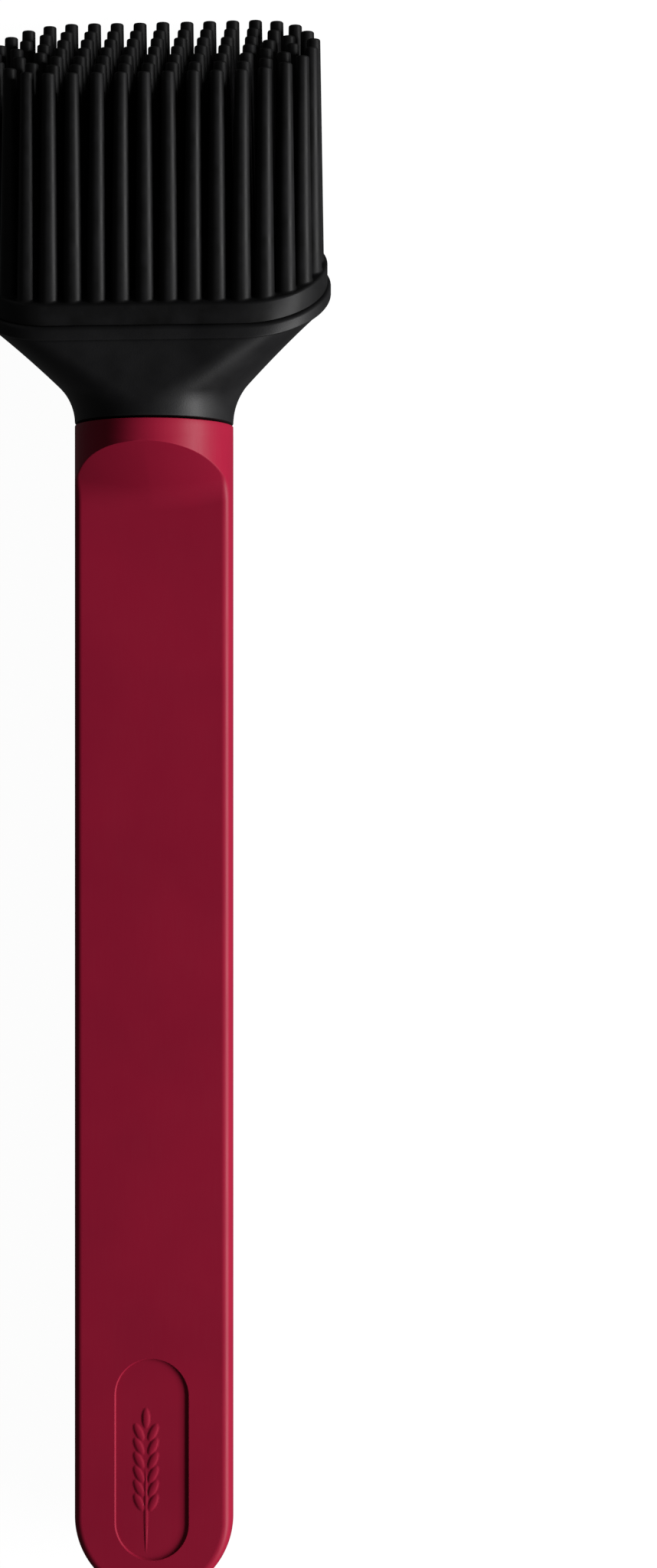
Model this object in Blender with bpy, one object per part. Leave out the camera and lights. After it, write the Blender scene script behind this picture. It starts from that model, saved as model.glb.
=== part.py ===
"""Pastry brush: a hollow red handle on a nylon core, a flared nylon collar and a silicone head that pulls out.

Frame, in metres: the brush lies on its back, +Y runs along the handle towards the bristles and +Z points up
out of the handle's flat front. The origin is under the middle of the brush, on the surface that it lies on.
Every piece is modelled about the handle's axis, with zero at the seam between handle and collar, and one
empty then puts them all in place.
"""
import math

import bmesh
import bpy
from mathutils import Matrix

# Handle: a round rod with a domed end, its front cut down to a flat
HANDLE_LENGTH = 0.1552          # from the seam to the tip of the dome
HANDLE_RADIUS = 0.0105          # also the collar's half depth
FLAT_HEIGHT = 0.0024            # flat front, above the handle's axis
NECK_BAND = 0.0030              # full round stretch below the seam
NECK_SLOPE = math.radians(51)   # between the neck's cut and the flat
NECK_FILLET = 0.0042            # radius where the cut runs into the flat
SHELL_WALL = 0.0022
LABEL_LENGTH = 0.0267           # shallow pocket in the flat, near the dome
LABEL_WIDTH = 0.0099
LABEL_DEPTH = 0.0003
LABEL_END_GAP = 0.0050          # from the pocket to the tip of the dome

# Core inside the handle, and the seal at its mouth
CORE_WALL = 0.0018              # round the socket that takes the collar's stem
RIB_PITCH = 0.0180
RIB_WIDTH = 0.0020
RIB_HEIGHT = 0.0016
SEAL_THICKNESS = 0.0016

# Collar: round at the seam, flared to a wide slanted mouth with a raised rim
MOUTH_STRAIGHT = 0.0126         # half length of the mouth's straight front
FLARE_RADIUS = 0.0075           # curve from the neck into the flare
FLARE_ANGLE = math.radians(43.5)
RIM_TOP = 0.0180                # on the axis, above the seam
RIM_HEIGHT = 0.0017
RIM_PROUD = 0.0004
SLANT = 0.62                    # drop of the mouth per unit towards the front
COLLAR_WALL = 0.0020
SOCKET_FLOOR = 0.0070           # on the axis, above the seam
STEM_LENGTH = 0.0300
PEG_RADIUS = 0.0032             # the carrier's peg, in its bore in the collar
PEG_BORE_FLOOR = 0.0008         # above the seam

# Silicone head: plug, skirt and bristles in one moulding on a stiff carrier
SKIRT_HEIGHT = 0.0025
SKIRT_SET_BACK = 0.00005        # behind the collar's faces
SILICONE_WALL = 0.0018          # round the carrier
CARRIER_HEIGHT = 0.0064
BRISTLE_PITCH = 0.0030
BRISTLE_LENGTH = 0.0293
BRISTLE_ROOT_RADIUS = 0.00135
BRISTLE_TIP_RADIUS = 0.00090
BRISTLE_EDGE_MARGIN = 0.00045   # from the outer bristles to the skirt's edge

FIT_GAP = 0.0003                # between pieces that touch
ARC_FACETS = 14                 # round each half circle
RUN_FACETS = 2                  # along each straight run
BRISTLE_SIDES = 6
MERGE = 1e-7

# Worked out from the sizes above
DOME_CENTRE = HANDLE_RADIUS - HANDLE_LENGTH
NECK_DROP = HANDLE_RADIUS - FLAT_HEIGHT - NECK_FILLET * (1 - math.cos(NECK_SLOPE))
FLAT_END = -(NECK_BAND + NECK_DROP / math.tan(NECK_SLOPE) + NECK_FILLET * math.sin(NECK_SLOPE))
RIM_BOTTOM = RIM_TOP - RIM_HEIGHT
SKIRT_BOTTOM = RIM_TOP + FIT_GAP
BRISTLE_BASE = SKIRT_BOTTOM + SKIRT_HEIGHT
SKIRT_RADIUS = HANDLE_RADIUS - SKIRT_SET_BACK
OUTER_ROW = SKIRT_RADIUS - BRISTLE_EDGE_MARGIN - BRISTLE_ROOT_RADIUS
HIGHEST_TIP = BRISTLE_BASE + SLANT * OUTER_ROW + BRISTLE_LENGTH
SEAM_Y = (HANDLE_LENGTH - HIGHEST_TIP) / 2
AXIS_HEIGHT = HANDLE_RADIUS + RIM_PROUD
CORE_INSET = SHELL_WALL + FIT_GAP
STEM_SOCKET_INSET = CORE_INSET + CORE_WALL
STEM_INSET = STEM_SOCKET_INSET + FIT_GAP
CORE_MOUTH = -(FIT_GAP + SEAL_THICKNESS + FIT_GAP)
PLUG_INSET = COLLAR_WALL + FIT_GAP
CARRIER_SOCKET_INSET = PLUG_INSET + SILICONE_WALL
CARRIER_INSET = CARRIER_SOCKET_INSET + FIT_GAP
PLUG_FLOOR = SOCKET_FLOOR + FIT_GAP
CARRIER_TOP = PLUG_FLOOR + CARRIER_HEIGHT


def material(name, colour, roughness):
    """A plain moulded material."""
    made = bpy.data.materials.new(name)
    made.use_nodes = True
    shader = made.node_tree.nodes["Principled BSDF"]
    shader.inputs["Base Color"].default_value = (*colour, 1.0)
    shader.inputs["Roughness"].default_value = roughness
    shader.inputs["Metallic"].default_value = 0.0
    return made


def add_object(name, bm, made_of, parent):
    """Turns a bmesh into a named, smooth-shaded object under the brush's empty."""
    mesh = bpy.data.meshes.new(name)
    bm.to_mesh(mesh)
    bm.free()
    mesh.shade_smooth()
    mesh.set_sharp_from_angle(angle=math.radians(35))
    mesh.materials.append(made_of)
    obj = bpy.data.objects.new(name, mesh)
    bpy.context.collection.objects.link(obj)
    obj.parent = parent
    return obj


def straight_run(start, end):
    """Points between two corners, without the corners."""
    steps = [i / RUN_FACETS for i in range(1, RUN_FACETS)]
    return [tuple(a + (b - a) * t for a, b in zip(start, end)) for t in steps]


def section(radius, plane, spread=0.0, top=math.inf):
    """One closed loop round the brush: two half circles, their centres 2 x spread apart and joined by straight
    runs, cut off flat at the height top. plane(z) is the loop's place along the brush."""
    rise = math.asin(max(-1.0, min(1.0, top / radius)))
    right = []
    for i in range(ARC_FACETS + 1):
        angle = -math.pi / 2 + (rise + math.pi / 2) * i / ARC_FACETS
        z = radius * math.sin(angle)
        right.append((spread + radius * math.cos(angle), plane(z), z))
    left = [(-x, y, z) for x, y, z in reversed(right)]
    return right + straight_run(right[-1], left[0]) + left + straight_run(left[-1], right[0])


def skin(loops):
    """A closed body through the loops in turn, filled at the first and at the last."""
    bm = bmesh.new()
    rows = [[bm.verts.new(point) for point in loop] for loop in loops]
    for row, following in zip(rows, rows[1:]):
        for i in range(len(row)):
            j = (i + 1) % len(row)
            bm.faces.new((row[i], row[j], following[j], following[i]))
    bm.faces.new(rows[0])
    bm.faces.new(rows[-1])
    bmesh.ops.remove_doubles(bm, verts=bm.verts, dist=MERGE)
    bmesh.ops.recalc_face_normals(bm, faces=bm.faces)
    return bm


def combine(obj, cutter, operation):
    """Adds or cuts with another object, which is left out of the build."""
    step = obj.modifiers.new(operation.lower(), "BOOLEAN")
    step.operation = operation
    step.solver = "EXACT"
    step.object = cutter
    cutter.hide_render = True
    cutter.display_type = "WIRE"


def front_height(y, inset):
    """Height of the handle's front above the axis at y, on a surface inset from the outer skin: the flat, then
    the fillet, then the neck's straight slope."""
    beyond = y - FLAT_END
    fillet = NECK_FILLET + inset
    fillet_run = fillet * math.sin(NECK_SLOPE)
    centre = FLAT_HEIGHT + NECK_FILLET
    if beyond <= 0:
        return centre - fillet
    if beyond < fillet_run:
        return centre - math.sqrt(fillet ** 2 - beyond ** 2)
    return centre - fillet * math.cos(NECK_SLOPE) + (beyond - fillet_run) * math.tan(NECK_SLOPE)


def handle_section(y, inset):
    """Cross-section of the handle at y, on a surface inset from the outer skin; past the dome's centre it
    shrinks as the dome does."""
    radius = HANDLE_RADIUS - inset
    into_dome = max(0.0, DOME_CENTRE - y)
    radius = math.sqrt(max(MERGE, radius ** 2 - into_dome ** 2))
    return section(radius, lambda z: y, top=front_height(y, inset))


def neck_stations(inset, steps=5):
    """Places along the neck's cut, from its top edge down its slope and fillet to the flat. On the slope they
    step evenly round the section's corner, which moves fastest near the top edge."""
    radius = HANDLE_RADIUS - inset
    fillet_run = (NECK_FILLET + inset) * math.sin(NECK_SLOPE)
    foot = front_height(FLAT_END + fillet_run, inset)
    slope_top = FLAT_END + fillet_run + (radius - foot) / math.tan(NECK_SLOPE)
    corner_turn = math.acos(foot / radius)
    slope = []
    for i in range(steps):
        drop = radius * (1 - math.cos(corner_turn * i / steps))
        slope.append(slope_top - drop / math.tan(NECK_SLOPE))
    curve = [FLAT_END + fillet_run * (steps - i) / steps for i in range(steps + 1)]
    return slope + curve


def dome_stations(inset, steps=8):
    """Places along the dome, from its centre to its tip, closer together towards the tip."""
    reach = HANDLE_RADIUS - inset
    return [DOME_CENTRE - reach * math.sin(math.pi / 2 * i / steps) for i in range(steps + 1)]


def handle_loops(start, inset, ribs=()):
    """Sections of the handle from start down to the dome's tip, with extra ones for ribs."""
    stations = [start] + [y for y in neck_stations(inset) if y < start]
    loops = [handle_section(y, inset) for y in stations]
    for y, depth in ribs:
        loops.append(handle_section(y, inset + depth))
    loops += [handle_section(y, inset) for y in dome_stations(inset)]
    return loops


def flare(y):
    """Half length of the collar's straight runs at y on the axis: a curve out of the neck, then a straight slope
    at the flare's angle."""
    curve_end = FLARE_RADIUS * math.sin(FLARE_ANGLE)
    if y <= 0:
        return 0.0
    if y < curve_end:
        return FLARE_RADIUS - math.sqrt(FLARE_RADIUS ** 2 - y ** 2)
    curve_out = FLARE_RADIUS * (1 - math.cos(FLARE_ANGLE))
    return min(MOUTH_STRAIGHT, curve_out + (y - curve_end) * math.tan(FLARE_ANGLE))


def level(on_axis):
    """A plane across the brush through a point on its axis: square at the seam, at the mouth's slant from the
    rim upwards, and turning evenly between them."""
    tilt = SLANT * max(0.0, min(1.0, on_axis / RIM_BOTTOM))
    return lambda z: on_axis - tilt * z


def collar_section(y, inset):
    """Cross-section of the collar at y on the axis, on a surface inset from the outer skin. On the
    flare the inset is measured square to the wall."""
    lift = inset * math.tan(FLARE_ANGLE / 2)
    return section(HANDLE_RADIUS - inset, level(y), spread=flare(y - lift))


def collar_stations(low, high, steps=7):
    """Even steps up the collar."""
    return [low + (high - low) * i / steps for i in range(steps + 1)]


def make_handle_shell(parent):
    """Red shell: closed at the dome, open at the neck."""
    outer = handle_loops(-FIT_GAP, 0.0)
    inner = handle_loops(-FIT_GAP, SHELL_WALL)
    bm = skin(list(reversed(outer)) + inner)
    shell = add_object("handle_shell", bm, material("red_gloss_abs", (0.26, 0.012, 0.028), 0.16), parent)
    combine(shell, make_label_cutter(parent), "DIFFERENCE")
    return shell


def make_label_cutter(parent):
    """Round-ended block that cuts the shallow pocket in the handle's flat."""
    radius = LABEL_WIDTH / 2
    straight = LABEL_LENGTH / 2 - radius
    middle = LABEL_END_GAP + LABEL_LENGTH / 2 - HANDLE_LENGTH
    bm = bmesh.new()
    outline = []
    for end in (1, -1):
        for i in range(ARC_FACETS + 1):
            angle = math.pi * i / ARC_FACETS
            x = end * radius * math.cos(angle)
            y = middle + end * (straight + radius * math.sin(angle))
            outline.append(bm.verts.new((x, y, FLAT_HEIGHT - LABEL_DEPTH)))
    floor = bm.faces.new(outline)
    lifted = bmesh.ops.extrude_face_region(bm, geom=[floor])["geom"]
    top = [item for item in lifted if isinstance(item, bmesh.types.BMVert)]
    bmesh.ops.translate(bm, verts=top, vec=(0, 0, 2 * LABEL_DEPTH))
    bmesh.ops.recalc_face_normals(bm, faces=bm.faces)
    return add_object("label_cutter", bm, material("cutter", (0.5, 0.5, 0.5), 0.5), parent)


def make_handle_core(parent):
    """Ribbed nylon core that fills the shell, with a socket for the collar's stem in its open end."""
    ribs = []
    rib_top = -(STEM_LENGTH + FIT_GAP + CORE_WALL)
    while rib_top - RIB_PITCH > DOME_CENTRE:
        groove = rib_top - RIB_PITCH + RIB_WIDTH
        ribs += [(rib_top, 0.0), (rib_top, RIB_HEIGHT), (groove, RIB_HEIGHT), (groove, 0.0)]
        rib_top -= RIB_PITCH
    outer = handle_loops(CORE_MOUTH, CORE_INSET, ribs)
    socket = [CORE_MOUTH] + [y for y in neck_stations(STEM_SOCKET_INSET) if y < CORE_MOUTH]
    socket.append(-(STEM_LENGTH + FIT_GAP))
    inner = [handle_section(y, STEM_SOCKET_INSET) for y in socket]
    bm = skin(list(reversed(outer)) + inner)
    return add_object("handle_core", bm, material("natural_nylon", (0.55, 0.53, 0.48), 0.5), parent)


def make_neck_seal(parent):
    """Rubber ring between the collar's stem and the handle's mouth."""
    outer_radius = HANDLE_RADIUS - SHELL_WALL - FIT_GAP
    bpy.ops.mesh.primitive_torus_add(
        major_radius=outer_radius - SEAL_THICKNESS / 2, minor_radius=SEAL_THICKNESS / 2,
        major_segments=2 * ARC_FACETS, minor_segments=10)
    ring = bpy.context.object
    ring.name = "neck_seal"
    ring.data.shade_smooth()
    ring.data.materials.append(material("seal_rubber", (0.03, 0.03, 0.03), 0.7))
    ring.parent = parent
    ring.location = (0, -FIT_GAP - SEAL_THICKNESS / 2, 0)
    ring.rotation_euler = (math.pi / 2, 0, 0)
    return ring


def make_collar(parent):
    """Black collar: stem, flared body, raised rim, and the socket and peg bore that hold the head."""
    stem = [-STEM_LENGTH] + list(reversed([y for y in neck_stations(STEM_INSET) if y < 0])) + [0.0]
    loops = [handle_section(y, STEM_INSET) for y in stem]
    loops += [collar_section(y, 0.0) for y in collar_stations(0.0, RIM_BOTTOM)]
    rim_radius = HANDLE_RADIUS + RIM_PROUD
    loops += [section(rim_radius, level(y), MOUTH_STRAIGHT) for y in (RIM_BOTTOM, RIM_TOP)]
    socket = reversed(collar_stations(SOCKET_FLOOR, RIM_TOP))
    loops += [collar_section(y, COLLAR_WALL) for y in socket]
    loops += [section(PEG_RADIUS + FIT_GAP, level(y)) for y in (SOCKET_FLOOR, PEG_BORE_FLOOR)]
    return add_object("collar", skin(loops), material("black_nylon", (0.010, 0.010, 0.011), 0.42), parent)


def make_head_carrier(parent):
    """Stiff nylon carrier moulded into the silicone, with the peg that centres the head in the collar."""
    loops = [section(PEG_RADIUS, level(y)) for y in (PEG_BORE_FLOOR + FIT_GAP, PLUG_FLOOR)]
    loops += [collar_section(y, CARRIER_INSET) for y in collar_stations(PLUG_FLOOR, CARRIER_TOP, steps=3)]
    return add_object("head_carrier", skin(loops), material("grey_nylon", (0.2, 0.2, 0.2), 0.5), parent)


def bristle_places():
    """(x, z) of every bristle: rows that run round the mouth's shape, one inside the other, and a last
    straight row along the middle."""
    rings = round(OUTER_ROW / BRISTLE_PITCH)
    columns = round(2 * MOUTH_STRAIGHT / BRISTLE_PITCH)
    across = [MOUTH_STRAIGHT * (2 * i / columns - 1) for i in range(columns + 1)]
    places = [(x, 0.0) for x in across]
    for ring in range(1, rings + 1):
        radius = OUTER_ROW * ring / rings
        places += [(x, side * radius) for x in across for side in (1, -1)]
        turns = round(math.pi * radius / BRISTLE_PITCH)
        for i in range(1, turns):
            angle = math.pi * i / turns
            x = MOUTH_STRAIGHT + radius * math.sin(angle)
            places += [(side * x, radius * math.cos(angle)) for side in (1, -1)]
    return places


def make_bristles(parent):
    """All the bristles as tapered pegs whose roots reach into the skirt."""
    bm = bmesh.new()
    root = SLANT * BRISTLE_ROOT_RADIUS + FIT_GAP
    base = level(BRISTLE_BASE)
    length = BRISTLE_LENGTH + root
    for x, z in bristle_places():
        middle = base(z) - root + length / 2
        place = Matrix.Translation((x, middle, z)) @ Matrix.Rotation(-math.pi / 2, 4, "X")
        bmesh.ops.create_cone(
            bm, cap_ends=True, segments=BRISTLE_SIDES, radius1=BRISTLE_ROOT_RADIUS,
            radius2=BRISTLE_TIP_RADIUS, depth=length, matrix=place)
    return add_object("bristles", bm, material("bristle_silicone", (0.006, 0.006, 0.006), 0.5), parent)


def make_silicone_head(parent):
    """Black silicone: a plug round the carrier, the skirt that sits on the rim, and the bristles."""
    loops = [collar_section(y, CARRIER_SOCKET_INSET)
             for y in reversed(collar_stations(PLUG_FLOOR, CARRIER_TOP + FIT_GAP, steps=3))]
    loops += [collar_section(y, PLUG_INSET) for y in collar_stations(PLUG_FLOOR, SKIRT_BOTTOM)]
    loops += [section(SKIRT_RADIUS, level(y), MOUTH_STRAIGHT) for y in (SKIRT_BOTTOM, BRISTLE_BASE)]
    head = add_object("silicone_head", skin(loops), material("black_silicone", (0.008, 0.008, 0.008), 0.5),
                      parent)
    combine(head, make_bristles(parent), "UNION")
    return head


def main():
    for obj in list(bpy.data.objects):
        bpy.data.objects.remove(obj, do_unlink=True)
    brush = bpy.data.objects.new("brush_axis", None)
    brush.location = (0, SEAM_Y, AXIS_HEIGHT)
    bpy.context.collection.objects.link(brush)
    make_handle_shell(brush)
    make_handle_core(brush)
    make_neck_seal(brush)
    make_collar(brush)
    head_slide = bpy.data.objects.new("head_slide", None)
    head_slide.parent = brush
    bpy.context.collection.objects.link(head_slide)
    make_head_carrier(head_slide)
    make_silicone_head(head_slide)


main()
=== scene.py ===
import math

import bmesh
import bpy
import numpy as np
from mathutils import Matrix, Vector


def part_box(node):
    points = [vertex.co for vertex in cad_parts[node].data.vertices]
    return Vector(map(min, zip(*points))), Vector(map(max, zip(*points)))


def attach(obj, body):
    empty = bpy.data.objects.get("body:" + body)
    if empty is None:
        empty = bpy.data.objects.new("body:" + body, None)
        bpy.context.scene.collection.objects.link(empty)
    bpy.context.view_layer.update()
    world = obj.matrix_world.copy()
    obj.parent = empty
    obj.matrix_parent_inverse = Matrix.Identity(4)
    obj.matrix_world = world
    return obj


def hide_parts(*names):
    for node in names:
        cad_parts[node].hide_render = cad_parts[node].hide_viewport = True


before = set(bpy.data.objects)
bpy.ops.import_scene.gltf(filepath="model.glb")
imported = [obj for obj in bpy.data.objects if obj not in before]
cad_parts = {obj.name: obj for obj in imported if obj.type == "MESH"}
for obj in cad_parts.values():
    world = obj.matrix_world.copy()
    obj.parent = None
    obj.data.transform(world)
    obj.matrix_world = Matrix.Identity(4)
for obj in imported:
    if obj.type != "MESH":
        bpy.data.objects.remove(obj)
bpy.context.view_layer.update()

MM = 0.001


# ---- Camera -------------------------------------------------------------------------------------------
# Looks straight down on the brush from a forearm's length, standing to the right of it and turned back
# towards it. The brush's own axis is the line through the middle of its round neck.
SHELL_LOW, SHELL_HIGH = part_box("handle_shell")
HANDLE_RADIUS = (SHELL_HIGH.z - SHELL_LOW.z) / 2
AXIS_Z = (SHELL_HIGH.z + SHELL_LOW.z) / 2
SEAM_Y = SHELL_HIGH.y
CAMERA_RIGHT = 57.3 * MM
CAMERA_BELOW_SEAM = 47.4 * MM
CAMERA_ABOVE_AXIS = 396 * MM
CAMERA_TURN = math.radians(4.92)
LENS_MM = 69.1

camera_data = bpy.data.cameras.new("camera")
camera_data.lens = LENS_MM
camera_data.sensor_width = 36
camera = bpy.data.objects.new("camera", camera_data)
camera.location = (CAMERA_RIGHT, SEAM_Y - CAMERA_BELOW_SEAM, AXIS_Z + CAMERA_ABOVE_AXIS)
camera.rotation_euler = (0, CAMERA_TURN, 0)
bpy.context.collection.objects.link(camera)
bpy.context.scene.camera = camera
bpy.context.scene.view_settings.view_transform = "Standard"


# ---- Floor and light ----------------------------------------------------------------------------------
# A white paper sweep and one tall softbox low on the right, so that round faces run from nearly black on
# the left to bright on the right. The paper glows a little itself, which keeps shadows on it faint.
def paint(code):
    """Turns an sRGB hex colour into linear light: ((c + 0.055) / 1.055) ^ 2.4, or c / 12.92 where dark."""
    channels = np.array([int(code[i:i + 2], 16) / 255 for i in (1, 3, 5)])
    linear = np.where(channels <= 0.04045, channels / 12.92, ((channels + 0.055) / 1.055) ** 2.4)
    return (*linear.tolist(), 1.0)


def add_node(tree, kind, settings=None, links=None):
    """Adds a node. settings holds its own attributes; links gives each input a value or another socket."""
    node = tree.nodes.new(kind)
    for name, value in (settings or {}).items():
        setattr(node, name, value)
    for name, value in (links or {}).items():
        if isinstance(value, bpy.types.NodeSocket):
            tree.links.new(value, node.inputs[name])
        else:
            node.inputs[name].default_value = value
    return node


PAPER_SIZE = 4.0
PAPER_GLOW = 0.97
KEY_DIRECTION = np.array([0.94, -0.10, 0.36])
KEY_DISTANCE = 0.70
KEY_HEIGHT = 0.24
KEY_LENGTH = 0.90
KEY_POWER = 14.0
SKY_LIGHT = 0.08

paper_mesh = bpy.data.meshes.new("paper_floor")
half = PAPER_SIZE / 2
paper_corners = [(-half, -half, 0), (half, -half, 0), (half, half, 0), (-half, half, 0)]
paper_mesh.from_pydata(paper_corners, [], [(0, 1, 2, 3)])
paper = bpy.data.objects.new("paper_floor", paper_mesh)
bpy.context.collection.objects.link(paper)
paper.visible_diffuse = False
paper.visible_glossy = False
paper_finish = bpy.data.materials.new("white paper")
paper_finish.use_nodes = True
paper_tree = paper_finish.node_tree
paper_shader = paper_tree.nodes["Principled BSDF"]
paper_shader.inputs["Base Color"].default_value = paint("#4A4A4A")
paper_shader.inputs["Roughness"].default_value = 0.9
paper_shader.inputs["Specular IOR Level"].default_value = 0.0
paper_shader.inputs["Emission Color"].default_value = (1, 1, 1, 1)
paper_shader.inputs["Emission Strength"].default_value = PAPER_GLOW
paper_mesh.materials.append(paper_finish)


def add_softbox(name, direction, distance, size_x, size_y, power):
    """A rectangular lamp, its long side along Y, that faces the middle of the brush from a direction."""
    lamp = bpy.data.lights.new(name, "AREA")
    lamp.shape = "RECTANGLE"
    lamp.size = size_x
    lamp.size_y = size_y
    lamp.energy = power
    holder = bpy.data.objects.new(name, lamp)
    away = direction / np.linalg.norm(direction)
    centre = np.array([0.0, 0.0, AXIS_Z])
    holder.location = centre + away * distance
    across = np.cross([0.0, 1.0, 0.0], away)
    across /= np.linalg.norm(across)
    up = np.cross(away, across)
    turn = np.column_stack([across, up, away])
    holder.rotation_mode = "QUATERNION"
    matrix = bpy.context.scene.camera.matrix_world.to_3x3()
    for row in range(3):
        for column in range(3):
            matrix[row][column] = turn[row, column]
    holder.rotation_quaternion = matrix.to_quaternion()
    bpy.context.collection.objects.link(holder)


add_softbox("key_softbox", KEY_DIRECTION, KEY_DISTANCE, KEY_HEIGHT, KEY_LENGTH, KEY_POWER)

studio = bpy.data.worlds.new("studio")
studio.use_nodes = True
studio.node_tree.nodes["Background"].inputs["Color"].default_value = (1, 1, 1, 1)
studio.node_tree.nodes["Background"].inputs["Strength"].default_value = SKY_LIGHT
bpy.context.scene.world = studio


# ---- Handle shell -------------------------------------------------------------------------------------
# One injection moulding in dark red ABS with a satin polish: a hollow round rod with a domed end, its front
# cut away to a flat. Its half outline is swept down one side, round the end and back up the other, and a
# shallow pocket near the end carries a raised ear of wheat.
FLAT_HEIGHT = 2.4 * MM
NECK_BAND = 3.0 * MM
NECK_SLOPE = math.radians(51)
NECK_ROUND = 0.45 * MM
NECK_FILLET = 4.2 * MM
FLAT_EDGE_ROUND = 1.1 * MM
NECK_EDGE_ROUND = 0.35 * MM
NECK_BOW = 15.0
SHELL_WALL = 2.2 * MM
SEAM_ROUND = 0.15 * MM
DOME_Y = SHELL_LOW.y + HANDLE_RADIUS
POCKET_LENGTH = 26.7 * MM
POCKET_RADIUS = 4.95 * MM
POCKET_DEPTH = 0.30 * MM
POCKET_END_GAP = 5.0 * MM
POCKET_LIP = 0.05 * MM
POCKET_FILLET = 0.10 * MM
POCKET_TOP = SHELL_LOW.y + POCKET_END_GAP + POCKET_LENGTH
POCKET_HIGH = POCKET_TOP - POCKET_RADIUS
POCKET_LOW = SHELL_LOW.y + POCKET_END_GAP + POCKET_RADIUS
EAR_MIDDLE = -0.8 * MM
EAR_FOOT = POCKET_LOW - 1.6 * MM
EAR_HEIGHT = 0.14 * MM
STALK_CENTRE = 3.2 * MM
STALK_HALF_LENGTH = 5.6 * MM
STALK_HALF_WIDTH = 0.22 * MM
STALK_SHARE = 0.6
GRAIN_PAIRS = 6
GRAIN_OUT = 0.95 * MM
LOWEST_GRAIN = 4.3 * MM
GRAIN_STEP = 1.85 * MM
GRAIN_LEAN = 0.45
GRAIN_HALF_LENGTH = 1.25 * MM
GRAIN_HALF_WIDTH = 0.52 * MM
TOP_GRAIN = 15.4 * MM
TOP_GRAIN_HALF_LENGTH = 1.35 * MM
FINE_STEP = 0.12 * MM


def neck_corners(inset):
    """Places along the neck's centre line where its front changes: top edge, slope's top, slope's foot and
    start of the flat, on a surface inset from the outer skin."""
    rounding = max(NECK_ROUND - inset, 0)
    fillet = NECK_FILLET + inset
    apex = SEAM_Y - NECK_BAND - inset * math.tan(NECK_SLOPE / 2)
    top = apex + rounding * math.tan(NECK_SLOPE / 2)
    slope_top = top - rounding * math.sin(NECK_SLOPE)
    drop = HANDLE_RADIUS - FLAT_HEIGHT - (rounding + fillet) * (1 - math.cos(NECK_SLOPE))
    slope_foot = slope_top - drop / math.tan(NECK_SLOPE)
    return rounding, fillet, top, slope_top, slope_foot, slope_foot - fillet * math.sin(NECK_SLOPE)


def neck_front(y, inset=0.0):
    """Height of the front above the axis at y: full round, an arc over the top edge, a straight slope, an
    arc into the flat. On the arcs it is the arc's centre plus or minus sqrt(r^2 - distance^2)."""
    rounding, fillet, top, slope_top, slope_foot, flat_top = neck_corners(inset)
    radius = HANDLE_RADIUS - inset
    over = radius - rounding + np.sqrt(np.maximum(rounding ** 2 - (y - top) ** 2, 0))
    into = FLAT_HEIGHT - inset + fillet - np.sqrt(np.maximum(fillet ** 2 - (y - flat_top) ** 2, 0))
    slope = radius - rounding * (1 - math.cos(NECK_SLOPE)) + (y - slope_top) * math.tan(NECK_SLOPE)
    reached = [y >= top, y >= slope_top, y >= slope_foot, y >= flat_top]
    return np.select(reached, [radius, over, slope, into], FLAT_HEIGHT - inset)


def neck_rows(inset, over_steps, slope_steps, fillet_steps):
    """Places along the neck, closest together near its top edge, where the cut widens fastest."""
    rounding, fillet, top, slope_top, slope_foot, _ = neck_corners(inset)
    over = top - rounding * np.sin(np.linspace(0, NECK_SLOPE, over_steps))
    slope = slope_top + (slope_foot - slope_top) * np.linspace(0, 1, slope_steps)[1:] ** 2
    turn = np.linspace(NECK_SLOPE, 0, fillet_steps)[1:]
    return np.concatenate([over, slope, slope_foot - fillet * (math.sin(NECK_SLOPE) - np.sin(turn))])


def half_outline(front, start, inset, edge_round):
    """Distance out and height of half the handle's section, one row for each front height: level from start
    along the flat, round its edge, then r cos a and r sin a down to the back."""
    radius = HANDLE_RADIUS - inset
    edge_round = np.minimum(edge_round, radius / 2)[:, None]
    corner_up = front[:, None] - edge_round
    corner_out = np.sqrt(np.maximum((radius - edge_round) ** 2 - corner_up ** 2, 0))
    corner_turn = np.arctan2(corner_up, corner_out)
    along_flat = np.array([0, 0.02, 0.3, 0.6, 0.85, 0.985, 1.0])
    flat_out = start[:, None] + (corner_out - start[:, None]) * along_flat
    flat_up = np.broadcast_to(front[:, None], flat_out.shape)
    turn = math.pi / 2 + (corner_turn - math.pi / 2) * np.linspace(0, 1, 11)[1:]
    edge_out = corner_out + edge_round * np.cos(turn)
    edge_up = corner_up + edge_round * np.sin(turn)
    back = corner_turn + (-math.pi / 2 - corner_turn) * np.linspace(0, 1, 41)[1:]
    return (np.hstack([flat_out, edge_out, radius * np.cos(back)]),
            np.hstack([flat_up, edge_up, radius * np.sin(back)]))


def bow(y, out):
    """How far the neck's cut is pushed towards the seam, k x^2 at x from the middle: nothing at the seam, all
    of it at the cut's top edge, and less and less down the flat, where it changes nothing."""
    share = np.interp(y, [POCKET_TOP, SEAM_Y - NECK_BAND, SEAM_Y], [0, 1, 0])
    return NECK_BOW * share[:, None] * out ** 2


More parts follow.
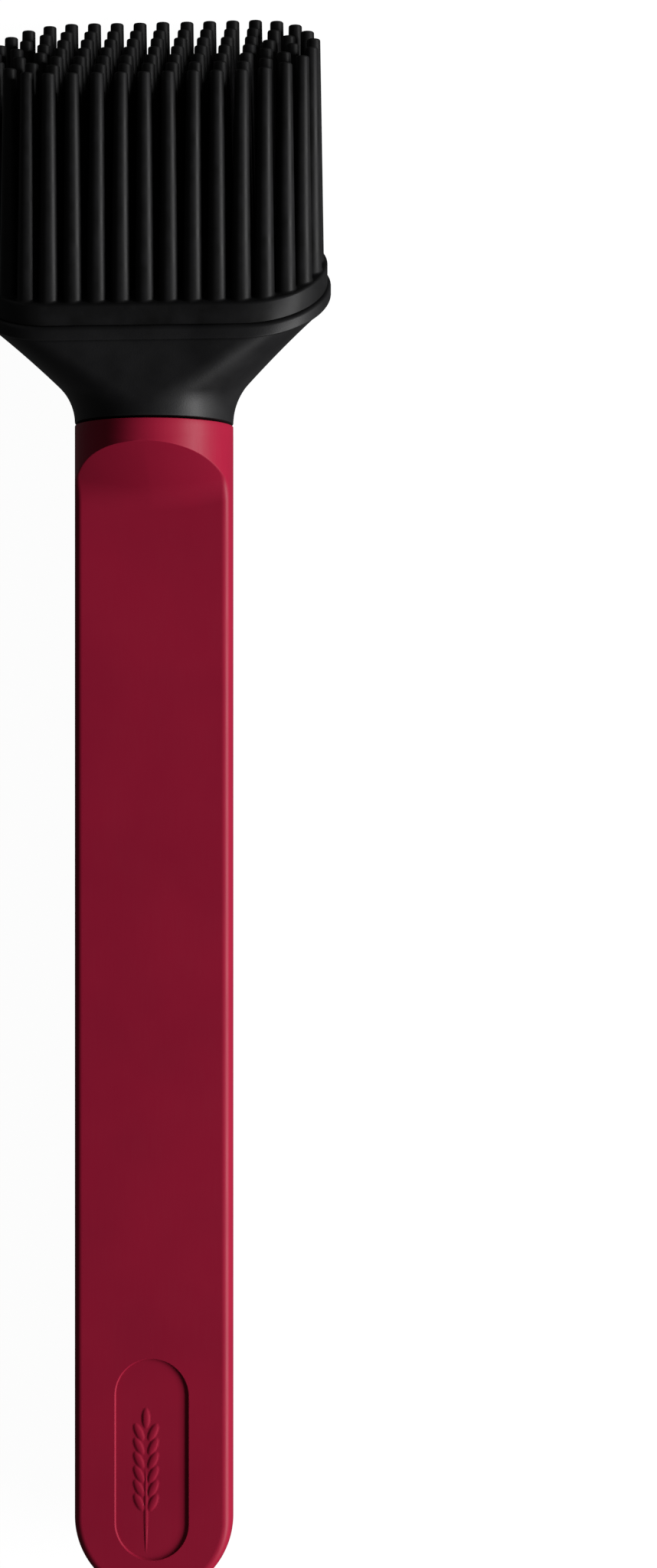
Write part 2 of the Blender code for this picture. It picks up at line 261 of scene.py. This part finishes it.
def sweep_outline(side_y, start, dome_start, inset, dome_steps):
    """Half outlines down the right side, turned about the dome's upright axis, and mirrored up the left.
    start is where each one begins on the front, and dome_start the same round the dome."""
    front = neck_front(side_y, inset)
    edge_round = np.interp(front, [FLAT_HEIGHT, FLAT_HEIGHT + NECK_FILLET / 2],
                           [FLAT_EDGE_ROUND, NECK_EDGE_ROUND])
    out, up = half_outline(front, start, inset, edge_round)
    right = np.stack([out, side_y[:, None] + bow(side_y, out), up], axis=-1)
    turn = np.linspace(0, math.pi, dome_steps + 1)[1:-1]
    dome_out = np.broadcast_to(out[-1], (len(turn), out.shape[1]))
    dome = np.stack([dome_out * np.cos(turn)[:, None], DOME_Y - dome_out * np.sin(turn)[:, None],
                     np.broadcast_to(up[-1], dome_out.shape)], axis=-1)
    middle, edge = dome_out[:, :1], dome_out[:, 6:7]
    share = np.clip((dome_out[:, :7] - middle) / (edge - middle), 0, 1)[..., None]
    dome[:, :7, :2] = dome_start(turn)[:, None] * (1 - share) + dome[:, 6:7, :2] * share
    return np.concatenate([right, dome, right[::-1] * np.array([-1, 1, 1])])


def pocket_start(y):
    """Half width of the pocket's outline at y above its lower end: r along its sides, then
    sqrt(r^2 - rise^2) round its upper end and nothing above that."""
    return np.sqrt(np.maximum(POCKET_RADIUS ** 2 - np.maximum(y - POCKET_HIGH, 0) ** 2, 0))


def pocket_lower_end(turn):
    """The lower end of the pocket's outline, r cos a across and r sin a down from its centre."""
    return np.stack([POCKET_RADIUS * np.cos(turn), POCKET_LOW - POCKET_RADIUS * np.sin(turn)], axis=-1)


def grain(x, y, centre, turn, half_length, half_width):
    """A grain's rise, 0 to 1: sqrt(1 - s) where s = (along / half length)^2 + (across / half width)^2."""
    along = (x - centre[0]) * math.sin(turn) + (y - centre[1]) * math.cos(turn)
    across = (x - centre[0]) * math.cos(turn) - (y - centre[1]) * math.sin(turn)
    return np.sqrt(np.maximum(1 - (along / half_length) ** 2 - (across / half_width) ** 2, 0))


def wheat_ear(x, y):
    """Height of the raised ear of wheat in the pocket: pairs of grains that lean out from a stalk, with one
    more on top, the highest of them at each point."""
    stalk_centre = (EAR_MIDDLE, EAR_FOOT + STALK_CENTRE)
    rise = grain(x, y, stalk_centre, 0.0, STALK_HALF_LENGTH, STALK_HALF_WIDTH) * STALK_SHARE
    for pair in range(GRAIN_PAIRS):
        for side in (-1, 1):
            centre = (EAR_MIDDLE + side * GRAIN_OUT, EAR_FOOT + LOWEST_GRAIN + GRAIN_STEP * pair)
            one = grain(x, y, centre, side * GRAIN_LEAN, GRAIN_HALF_LENGTH, GRAIN_HALF_WIDTH)
            rise = np.maximum(rise, one)
    top_centre = (EAR_MIDDLE, EAR_FOOT + TOP_GRAIN)
    rise = np.maximum(rise, grain(x, y, top_centre, 0.0, TOP_GRAIN_HALF_LENGTH, GRAIN_HALF_WIDTH))
    return EAR_HEIGHT * rise


def pocket_rings(rim):
    """Rings from the pocket's outline in to its middle line: each point moves straight in from the rim, down
    over a rounded lip and a steep wall, round a fillet and along the floor."""
    spine = np.stack([0 * rim[:, 0], np.clip(rim[:, 1], POCKET_LOW, POCKET_HIGH)], axis=-1)
    outward = (rim - spine) / POCKET_RADIUS
    lip = np.radians(np.linspace(0, 80, 5))
    lip_in, lip_down = POCKET_LIP * np.sin(lip), POCKET_LIP * (1 - np.cos(lip))
    foot = np.radians(np.linspace(80, 0, 5))
    wall_in = lip_in[-1] + 0.02 * MM
    foot_in = wall_in + POCKET_FILLET * (math.sin(foot[0]) - np.sin(foot))
    foot_down = POCKET_DEPTH - POCKET_FILLET * (1 - np.cos(foot))
    floor_in = np.linspace(foot_in[-1], POCKET_RADIUS, int(POCKET_RADIUS / FINE_STEP))[1:]
    inward = np.concatenate([lip_in, foot_in, floor_in])
    down = np.concatenate([lip_down, foot_down, 0 * floor_in + POCKET_DEPTH])
    place = spine + outward * (POCKET_RADIUS - inward)[:, None, None]
    on_floor = (inward > foot_in[-1] - 1e-9)[:, None]
    height = FLAT_HEIGHT - down[:, None] + on_floor * wheat_ear(place[..., 0], place[..., 1])
    return np.concatenate([place, height[..., None]], axis=-1)


def sheet_faces(rows, columns, start=0, closed=False):
    """Quads of a grid of points numbered row by row from start; closed joins the last column to the first."""
    across = columns if closed else columns - 1
    row, column = np.meshgrid(np.arange(rows - 1), np.arange(across), indexing="ij")
    following = (column + 1) % columns
    quads = [row * columns + column, row * columns + following, (row + 1) * columns + following,
             (row + 1) * columns + column]
    return start + np.stack(quads, axis=-1).reshape(-1, 4)


def add_piece(name, points, faces, body, slot, finish, replaced):
    """Makes a piece of points and faces: merges the doubled points at seams and poles, turns the faces
    outwards, shades it smooth, and has it ride on its body and stand for its CAD node."""
    mesh = bpy.data.meshes.new(name)
    mesh.from_pydata(points.tolist(), [], faces)
    cleaned = bmesh.new()
    cleaned.from_mesh(mesh)
    bmesh.ops.remove_doubles(cleaned, verts=cleaned.verts, dist=2e-7)
    bmesh.ops.dissolve_degenerate(cleaned, edges=cleaned.edges, dist=1e-7)
    bmesh.ops.recalc_face_normals(cleaned, faces=cleaned.faces)
    cleaned.to_mesh(mesh)
    cleaned.free()
    mesh.shade_smooth()
    mesh.set_sharp_from_angle(angle=math.radians(40))
    mesh.materials.append(finish)
    piece = bpy.data.objects.new(name, mesh)
    bpy.context.collection.objects.link(piece)
    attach(piece, body)
    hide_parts(replaced)
    return piece


def make_handle_shell():
    """Outer skin, inner skin 2.2 mm in from it, the lip that joins them at the mouth, and the pocket."""
    pocket_arc = POCKET_HIGH + POCKET_RADIUS * np.sin(np.linspace(math.pi / 2, 0, 33))
    sides = np.linspace(POCKET_HIGH, DOME_Y, int((POCKET_HIGH - DOME_Y) / FINE_STEP))[1:]
    neck = neck_rows(0.0, 9, 36, 18)
    lip = SEAM_Y - SEAM_ROUND * (1 - np.cos(np.linspace(0, math.pi / 2, 4)))
    outer_y = np.concatenate([lip, np.linspace(lip[-1], neck[0], 4)[1:-1], neck,
                              np.linspace(neck[-1], pocket_arc[0], 18)[1:-1], pocket_arc, sides])
    outer = sweep_outline(outer_y, pocket_start(outer_y), pocket_lower_end, 0.0, 128)
    shrink = SEAM_ROUND * (1 - np.sin(np.linspace(0, math.pi / 2, 4)))
    for row, less in enumerate(shrink):
        outer[[row, -1 - row], :, 0] *= 1 - less / HANDLE_RADIUS
        outer[[row, -1 - row], :, 2] *= 1 - less / HANDLE_RADIUS
    inner_neck = neck_rows(SHELL_WALL, 2, 14, 8)
    inner_y = np.concatenate([[SEAM_Y], inner_neck, np.linspace(inner_neck[-1], DOME_Y, 4)[1:]])
    inner = sweep_outline(inner_y, 0 * inner_y, lambda turn: np.stack([0 * turn, 0 * turn + DOME_Y], axis=-1),
                          SHELL_WALL, 24)
    top_row = len(lip) + 2 + len(neck) + 16
    first, last = top_row, len(outer) - 1 - top_row
    rim = outer[first:last, 0, :2]
    rings = pocket_rings(rim)
    columns = outer.shape[1]
    inner_start = outer.shape[0] * columns
    ring_start = inner_start + inner.shape[0] * columns
    step = np.arange(columns - 1)
    faces = [sheet_faces(outer.shape[0], columns), sheet_faces(inner.shape[0], columns, inner_start)]
    for outer_row, inner_row in ((0, 0), (outer.shape[0] - 1, inner.shape[0] - 1)):
        a, b = outer_row * columns + step, inner_start + inner_row * columns + step
        faces.append(np.stack([a, a + 1, b + 1, b], axis=-1))
    faces.append(sheet_faces(rings.shape[0], rings.shape[1], ring_start, closed=True))
    points = np.concatenate([outer.reshape(-1, 3), inner.reshape(-1, 3), rings.reshape(-1, 3)])
    points[:, 2] += AXIS_Z
    return points, np.concatenate(faces).tolist()


def red_abs():
    """ABS coloured through, moulded in a fine-polished tool: a deep red under a satin skin. The eye sees one
    soft highlight, broken a little by flow clouds and by fine rubbing along the handle."""
    finish = bpy.data.materials.new("satin red ABS")
    finish.use_nodes = True
    tree = finish.node_tree
    place = add_node(tree, "ShaderNodeTexCoord").outputs["Object"]
    cloud = add_node(tree, "ShaderNodeTexNoise", None, {"Vector": place, "Scale": 60.0, "Detail": 3.0})
    colour = add_node(tree, "ShaderNodeValToRGB", None, {"Fac": cloud.outputs["Fac"]})
    colour.color_ramp.elements[0].position = 0.35
    colour.color_ramp.elements[0].color = paint("#7C1029")
    colour.color_ramp.elements[1].position = 0.68
    colour.color_ramp.elements[1].color = paint("#82122B")
    stretched = add_node(tree, "ShaderNodeMapping", None, {"Vector": place, "Scale": (1.0, 0.04, 1.0)})
    rubbing = add_node(tree, "ShaderNodeTexNoise", None,
                       {"Vector": stretched.outputs["Vector"], "Scale": 5200.0, "Detail": 2.0})
    smear = add_node(tree, "ShaderNodeTexNoise", None, {"Vector": place, "Scale": 140.0, "Detail": 4.0})
    both = add_node(tree, "ShaderNodeMath", {"operation": "MULTIPLY"},
                    {0: rubbing.outputs["Fac"], 1: smear.outputs["Fac"]})
    rough = add_node(tree, "ShaderNodeMapRange", None,
                     {"Value": both.outputs["Value"], "From Min": 0.12, "From Max": 0.42, "To Min": 0.42,
                      "To Max": 0.52})
    skin = add_node(tree, "ShaderNodeTexNoise", None, {"Vector": place, "Scale": 700.0, "Detail": 1.0})
    bump = add_node(tree, "ShaderNodeBump", None,
                    {"Height": skin.outputs["Fac"], "Strength": 0.08, "Distance": 0.00002})
    shader = tree.nodes["Principled BSDF"]
    tree.links.new(colour.outputs["Color"], shader.inputs["Base Color"])
    tree.links.new(rough.outputs["Result"], shader.inputs["Roughness"])
    tree.links.new(bump.outputs["Normal"], shader.inputs["Normal"])
    shader.inputs["IOR"].default_value = 1.52
    shader.inputs["Specular IOR Level"].default_value = 0.12
    return finish


add_piece("handle_shell_moulding", *make_handle_shell(), "handle", "handle_plastic", red_abs(),
          "handle_shell")


# ---- Collar -------------------------------------------------------------------------------------------
# One moulding in black glass-filled nylon, with the fine satin grain of a spark-eroded tool: round where it
# meets the handle, spreading to a wide slanted mouth with a bead round it. Its socket holds the head.
COLLAR_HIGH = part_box("collar")[1]
BEAD_RADIUS = AXIS_Z
MOUTH_STRAIGHT = COLLAR_HIGH.x - BEAD_RADIUS
FLARE_RADIUS = 7.5 * MM
FLARE_ANGLE = math.radians(43.5)
RIM_TOP = 18.0 * MM
RIM_HEIGHT = 1.7 * MM
SLANT = 0.62
COLLAR_WALL = 2.0 * MM
SOCKET_FLOOR = 7.0 * MM
PEG_BORE_RADIUS = 3.5 * MM
PEG_BORE_FLOOR = 0.8 * MM
BEAD_ROUND = 0.35 * MM
LIP_ROUND = 0.25 * MM
STEM_ROUND = 0.3 * MM
BEAD_FOOT = 0.12 * MM
LIP_FOOT = 0.2 * MM
CORNER = 0.1 * MM
BORE_CORNER = 0.2 * MM
SEAM_STEP = 1e-9
RIM_BOTTOM = RIM_TOP - RIM_HEIGHT
SEAM_GAP = 0.3 * MM
STEM_LENGTH = 30.0 * MM
STEM_INSET = 4.6 * MM
COLLAR_Y = SEAM_Y + SEAM_GAP


def flare(y):
    """Half length of the collar's straight runs at y above the seam: an arc r - sqrt(r^2 - rise^2) up to the
    flare's angle, then a straight slope at that angle, as far as the mouth's own straight."""
    rise = np.maximum(y, 0)
    bend_end = FLARE_RADIUS * math.sin(FLARE_ANGLE)
    bend = FLARE_RADIUS - np.sqrt(FLARE_RADIUS ** 2 - np.minimum(rise, bend_end) ** 2)
    return np.minimum(bend + np.maximum(rise - bend_end, 0) * math.tan(FLARE_ANGLE), MOUTH_STRAIGHT)


def tilt(y):
    """Slant of the plane that crosses the axis at y: none at the seam, growing evenly up to the rim."""
    return SLANT * np.clip(y / RIM_BOTTOM, 0, 1)


def oval_rows(profile, arc_steps=56, run_steps=14):
    """Rows of points round the brush. Each profile entry is (radius, straight half length, height on the
    axis); x is the straight plus r cos a, z is r sin a, and y falls with z by the plane's slant. Below the
    seam the stem's front is cut off as the handle's is; where the cut lies below the axis, the sides end at
    half its chord, sqrt(r^2 - cut^2)."""
    radius, straight, height = (np.array(column, float)[:, None] for column in zip(*profile))
    turn = np.linspace(-math.pi / 2, math.pi / 2, arc_steps + 1)
    run = np.linspace(1, -1, run_steps + 1)[1:-1]
    right = straight + radius * np.cos(turn)
    front = straight * run
    across = np.hstack([right, front, -right[:, ::-1], -front])
    level = radius + 0 * front
    lift = np.hstack([radius * np.sin(turn), level, radius * np.sin(turn[::-1]), -level])
    cut = np.where(height < 0, neck_front(COLLAR_Y + height, STEM_INSET), HANDLE_RADIUS * 2)
    reach = straight + np.sqrt(radius ** 2 - np.minimum(cut, 0) ** 2)
    across = np.clip(across, -reach, reach)
    lift = np.minimum(lift, cut)
    along = height - tilt(height) * lift
    return np.stack([across, along + COLLAR_Y, lift + AXIS_Z], axis=-1)


def rounded(corner_radius, corner_height, size, start, end, steps=6):
    """(radius, height) points of a quarter round about a corner's own centre, from start to end degrees."""
    turn = np.radians(np.linspace(start, end, steps))
    return [(corner_radius + size * math.cos(a), corner_height + size * math.sin(a)) for a in turn]


def collar_wall_rows(low, high, inset, steps):
    """Profile of the flared wall, inset from its outer skin square to the flare."""
    lift = inset * math.tan(FLARE_ANGLE / 2)
    heights = np.linspace(low, high, steps)
    return [(HANDLE_RADIUS - inset, float(flare(y - lift)), y) for y in heights]


def closed_faces(rows, columns):
    """Faces of a tube of rows, with its first and last row filled."""
    first = list(range(columns))
    last = list(range((rows - 1) * columns, rows * columns))
    return sheet_faces(rows, columns, closed=True).tolist() + [first[::-1], last]


def make_collar_profile():
    """Round the collar's wall: under the neck, up the outside, over the bead, down the socket and into the
    bore for the head's peg."""
    outer = HANDLE_RADIUS
    stem = neck_rows(STEM_INSET, 2, 10, 6)[::-1] - COLLAR_Y
    profile = [(outer - STEM_INSET - STEM_ROUND, 0, -STEM_LENGTH)]
    profile += [(outer - STEM_INSET, 0, -STEM_LENGTH + STEM_ROUND)]
    profile += [(outer - STEM_INSET, 0, height) for height in stem]
    profile += [(outer - STEM_INSET, 0, -SEAM_STEP), (outer - SEAM_ROUND, 0, 0)]
    profile += [(outer - 0.3 * SEAM_ROUND, 0, 0.3 * SEAM_ROUND)]
    profile += collar_wall_rows(SEAM_ROUND, RIM_BOTTOM - BEAD_FOOT, 0.0, 64)
    straight = MOUTH_STRAIGHT
    bead = rounded(BEAD_RADIUS - BEAD_ROUND, RIM_BOTTOM + BEAD_ROUND, BEAD_ROUND, -80, 0)
    bead += rounded(BEAD_RADIUS - BEAD_ROUND, RIM_TOP - BEAD_ROUND, BEAD_ROUND, 0, 90)
    profile += [(radius, straight, height) for radius, height in bead]
    lip = HANDLE_RADIUS - COLLAR_WALL
    lip_rows = rounded(lip + LIP_ROUND, RIM_TOP - LIP_ROUND, LIP_ROUND, 90, 180)
    profile += [(radius, straight, height) for radius, height in lip_rows]
    profile += collar_wall_rows(SOCKET_FLOOR, RIM_TOP - LIP_ROUND - LIP_FOOT, COLLAR_WALL, 30)[::-1]
    floor_straight = profile[-1][1]
    profile += [(lip - CORNER, floor_straight, SOCKET_FLOOR), (PEG_BORE_RADIUS + CORNER, 0, SOCKET_FLOOR)]
    bore = [SOCKET_FLOOR - CORNER, PEG_BORE_FLOOR + CORNER, PEG_BORE_FLOOR]
    profile += [(PEG_BORE_RADIUS, 0, height) for height in bore]
    profile += [(PEG_BORE_RADIUS - BORE_CORNER, 0, PEG_BORE_FLOOR)]
    return profile


def black_nylon():
    """Glass-filled nylon from a spark-eroded tool: near black, with a satin grain of pits about 0.2 mm
    across that turns highlights into a soft grey sheen, and faint paler rubbing."""
    finish = bpy.data.materials.new("grained black nylon")
    finish.use_nodes = True
    tree = finish.node_tree
    place = add_node(tree, "ShaderNodeTexCoord").outputs["Object"]
    cloud = add_node(tree, "ShaderNodeTexNoise", None, {"Vector": place, "Scale": 180.0, "Detail": 5.0})
    colour = add_node(tree, "ShaderNodeValToRGB", None, {"Fac": cloud.outputs["Fac"]})
    colour.color_ramp.elements[0].position = 0.35
    colour.color_ramp.elements[0].color = paint("#0D0D0E")
    colour.color_ramp.elements[1].position = 0.70
    colour.color_ramp.elements[1].color = paint("#131314")
    grain = add_node(tree, "ShaderNodeTexVoronoi", None,
                     {"Vector": place, "Scale": 4500.0, "Randomness": 1.0})
    fine = add_node(tree, "ShaderNodeTexNoise", None, {"Vector": place, "Scale": 9000.0, "Detail": 2.0})
    pits = add_node(tree, "ShaderNodeMath", {"operation": "MULTIPLY"},
                    {0: grain.outputs["Distance"], 1: fine.outputs["Fac"]})
    bump = add_node(tree, "ShaderNodeBump", None,
                    {"Height": pits.outputs["Value"], "Strength": 0.25, "Distance": 0.00004})
    rough = add_node(tree, "ShaderNodeMapRange", None,
                     {"Value": cloud.outputs["Fac"], "From Min": 0.3, "From Max": 0.7, "To Min": 0.44,
                      "To Max": 0.56})
    shader = tree.nodes["Principled BSDF"]
    tree.links.new(colour.outputs["Color"], shader.inputs["Base Color"])
    tree.links.new(rough.outputs["Result"], shader.inputs["Roughness"])
    tree.links.new(bump.outputs["Normal"], shader.inputs["Normal"])
    shader.inputs["IOR"].default_value = 1.53
    shader.inputs["Specular IOR Level"].default_value = 0.18
    return finish


collar_points = oval_rows(make_collar_profile())
add_piece("collar_moulding", collar_points.reshape(-1, 3), closed_faces(*collar_points.shape[:2]), "handle",
          "collar_nylon", black_nylon(), "collar")


# ---- Silicone head ------------------------------------------------------------------------------------
# One moulding in matt black food-grade silicone: a plug that fills the collar's socket, a skirt that sits on
# the bead, and rows of tapered round bristles. It is soft, so no two bristles stand quite alike.
FIT_GAP = 0.3 * MM
SILICONE_WALL = 1.8 * MM
CARRIER_HEIGHT = 6.4 * MM
SKIRT_LIFT = 0.08 * MM
SKIRT_BOTTOM = RIM_TOP + SKIRT_LIFT
BRISTLE_BASE = RIM_TOP + FIT_GAP + 2.5 * MM
SKIRT_RADIUS = HANDLE_RADIUS - 0.05 * MM
SKIRT_ROUND = 0.3 * MM
SKIRT_EDGE = 0.15 * MM
SKIRT_FOOT = 0.05 * MM
PLUG_FLOOR = SOCKET_FLOOR + FIT_GAP
BRISTLE_PITCH = 3.0 * MM
BRISTLE_LENGTH = 29.3 * MM
EDGE_MARGIN = 0.45 * MM
ROOT_RADIUS = 1.35 * MM
TIP_RADIUS = 0.90 * MM
TIP_ROUND = 0.25 * MM
ROOT_FILLET = 0.20 * MM
ROOT_DEPTH = 0.6 * MM
UPRIGHT_FROM = 2 * MM
OUTER_ROW = SKIRT_RADIUS - EDGE_MARGIN - ROOT_RADIUS
LEAN = 0.10 * MM


def make_plug_profile():
    """Round the head's body: down the hollow that holds the carrier, under and up the plug, out along the
    skirt's underside, up its edge and over its rounded top."""
    hollow = COLLAR_WALL + FIT_GAP + SILICONE_WALL
    carrier_top = PLUG_FLOOR + CARRIER_HEIGHT + FIT_GAP
    profile = collar_wall_rows(PLUG_FLOOR, carrier_top, hollow, 12)[::-1]
    profile += collar_wall_rows(PLUG_FLOOR, SKIRT_BOTTOM - SKIRT_FOOT, COLLAR_WALL + FIT_GAP, 26)
    edge = rounded(SKIRT_RADIUS - SKIRT_EDGE, SKIRT_BOTTOM + SKIRT_EDGE, SKIRT_EDGE, -90, 0, 4)
    edge += rounded(SKIRT_RADIUS - SKIRT_ROUND, BRISTLE_BASE - SKIRT_ROUND, SKIRT_ROUND, 0, 90)
    edge.append((SKIRT_RADIUS - SKIRT_ROUND - CORNER, BRISTLE_BASE))
    return profile + [(radius, MOUTH_STRAIGHT, height) for radius, height in edge]


def bristle_places():
    """(x, z) of each bristle: the middle row, then rings of rows round it, stepped evenly round the ends."""
    columns = round(2 * MOUTH_STRAIGHT / BRISTLE_PITCH)
    across = np.linspace(-MOUTH_STRAIGHT, MOUTH_STRAIGHT, columns + 1)
    places = [np.stack([across, 0 * across], axis=-1)]
    rings = round(OUTER_ROW / BRISTLE_PITCH)
    for ring in range(1, rings + 1):
        radius = OUTER_ROW * ring / rings
        steps = round(math.pi * radius / BRISTLE_PITCH)
        turn = math.pi * np.arange(1, steps) / steps
        end_x = MOUTH_STRAIGHT + radius * np.sin(turn)
        end_z = radius * np.cos(turn)
        for side in (1, -1):
            places.append(np.stack([across, side * radius + 0 * across], axis=-1))
            places.append(np.stack([side * end_x, end_z], axis=-1))
    return np.concatenate(places)


def make_bristle_points(places, sides=16):
    """Points (bristle, row, side): each bristle is its outline turned about its own axis, r cos a and
    r sin a. Its foot follows the slanted base, and its tip strays a little, by the square of the height."""
    foot = [(ROOT_RADIUS + ROOT_FILLET * 0.5, -ROOT_DEPTH), (ROOT_RADIUS + ROOT_FILLET, 0.0)]
    foot += [(ROOT_RADIUS + ROOT_FILLET * (1 - math.sin(a)), ROOT_FILLET * (1 - math.cos(a)))
             for a in np.radians([30, 60, 90])]
    length = BRISTLE_LENGTH - ROOT_FILLET - TIP_ROUND
    body = [(ROOT_RADIUS + (TIP_RADIUS - ROOT_RADIUS) * t, ROOT_FILLET + length * t)
            for t in (0.25, 0.5, 0.75, 1.0)]
    tip = rounded(TIP_RADIUS - TIP_ROUND, BRISTLE_LENGTH - TIP_ROUND, TIP_ROUND, 30, 90, 3)
    radius, height = np.array(foot + body + tip).T
    turn = 2 * math.pi * np.arange(sides) / sides
    x = places[:, 0, None, None] + radius[:, None] * np.cos(turn)
    z = places[:, 1, None, None] + radius[:, None] * np.sin(turn)
    upright = np.clip(height / UPRIGHT_FROM, 0, 1)[:, None]
    seat = -SLANT * (z * (1 - upright) + places[:, 1, None, None] * upright)
    y = BRISTLE_BASE + seat + height[:, None]
    random = np.random.default_rng(7)
    stray = random.uniform(-LEAN, LEAN, (len(places), 2, 1, 1)) * ((height / BRISTLE_LENGTH) ** 2)[:, None]
    return np.stack([x + stray[:, 0], y + COLLAR_Y, z + stray[:, 1] + AXIS_Z], axis=-1)


def black_silicone():
    """Matt liquid silicone rubber: a soft black with a dusty sheen at glancing angles and a very fine,
    slightly uneven skin."""
    finish = bpy.data.materials.new("matt black silicone")
    finish.use_nodes = True
    tree = finish.node_tree
    place = add_node(tree, "ShaderNodeTexCoord").outputs["Object"]
    cloud = add_node(tree, "ShaderNodeTexNoise", None, {"Vector": place, "Scale": 350.0, "Detail": 4.0})
    colour = add_node(tree, "ShaderNodeValToRGB", None, {"Fac": cloud.outputs["Fac"]})
    colour.color_ramp.elements[0].position = 0.30
    colour.color_ramp.elements[0].color = paint("#0B0B0B")
    colour.color_ramp.elements[1].position = 0.75
    colour.color_ramp.elements[1].color = paint("#111112")
    rough = add_node(tree, "ShaderNodeMapRange", None,
                     {"Value": cloud.outputs["Fac"], "From Min": 0.3, "From Max": 0.7, "To Min": 0.44,
                      "To Max": 0.56})
    skin = add_node(tree, "ShaderNodeTexNoise", None, {"Vector": place, "Scale": 3000.0, "Detail": 3.0})
    bump = add_node(tree, "ShaderNodeBump", None,
                    {"Height": skin.outputs["Fac"], "Strength": 0.15, "Distance": 0.00004})
    shader = tree.nodes["Principled BSDF"]
    tree.links.new(colour.outputs["Color"], shader.inputs["Base Color"])
    tree.links.new(rough.outputs["Result"], shader.inputs["Roughness"])
    tree.links.new(bump.outputs["Normal"], shader.inputs["Normal"])
    shader.inputs["IOR"].default_value = 1.42
    shader.inputs["Specular IOR Level"].default_value = 0.18
    return finish


def make_silicone_head():
    """Joins the body's faces and every bristle's into one moulding."""
    body = oval_rows(make_plug_profile())
    body_faces = closed_faces(*body.shape[:2])
    bristles = make_bristle_points(bristle_places())
    count, rows, sides = bristles.shape[:3]
    one = closed_faces(rows, sides)
    start = body.shape[0] * body.shape[1]
    faces = list(body_faces)
    for bristle in range(count):
        offset = start + bristle * rows * sides
        faces += [[corner + offset for corner in face] for face in one]
    return np.concatenate([body.reshape(-1, 3), bristles.reshape(-1, 3)]), faces


head_points, head_faces = make_silicone_head()
add_piece("silicone_head_moulding", head_points, head_faces, "head", "head_silicone", black_silicone(),
          "silicone_head")


# ---- Pieces inside ------------------------------------------------------------------------------------
# The ribbed core in the handle, the rubber ring round the collar's stem and the carrier in the silicone keep
# their own shapes. The core and the carrier are plain nylon, the ring is rubber.
def inner_plastic(name, dark, light, roughness):
    """Undecorated moulded plastic: a slightly clouded colour and a fine tooled skin."""
    finish = bpy.data.materials.new(name)
    finish.use_nodes = True
    tree = finish.node_tree
    place = add_node(tree, "ShaderNodeTexCoord").outputs["Object"]
    cloud = add_node(tree, "ShaderNodeTexNoise", None, {"Vector": place, "Scale": 220.0, "Detail": 4.0})
    colour = add_node(tree, "ShaderNodeValToRGB", None, {"Fac": cloud.outputs["Fac"]})
    colour.color_ramp.elements[0].color = paint(dark)
    colour.color_ramp.elements[1].color = paint(light)
    skin = add_node(tree, "ShaderNodeTexNoise", None, {"Vector": place, "Scale": 2500.0, "Detail": 3.0})
    bump = add_node(tree, "ShaderNodeBump", None,
                    {"Height": skin.outputs["Fac"], "Strength": 0.15, "Distance": 0.00004})
    shader = tree.nodes["Principled BSDF"]
    tree.links.new(colour.outputs["Color"], shader.inputs["Base Color"])
    tree.links.new(bump.outputs["Normal"], shader.inputs["Normal"])
    shader.inputs["Roughness"].default_value = roughness
    return finish


for node_name, finish in (
        ("handle_core", inner_plastic("undyed nylon", "#BDB8A8", "#D2CDBD", 0.5)),
        ("head_carrier", inner_plastic("grey nylon", "#5A5A5A", "#6A6A6A", 0.45)),
        ("neck_seal", inner_plastic("black rubber", "#1A1A1A", "#242424", 0.7))):
    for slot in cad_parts[node_name].material_slots:
        slot.material = finish
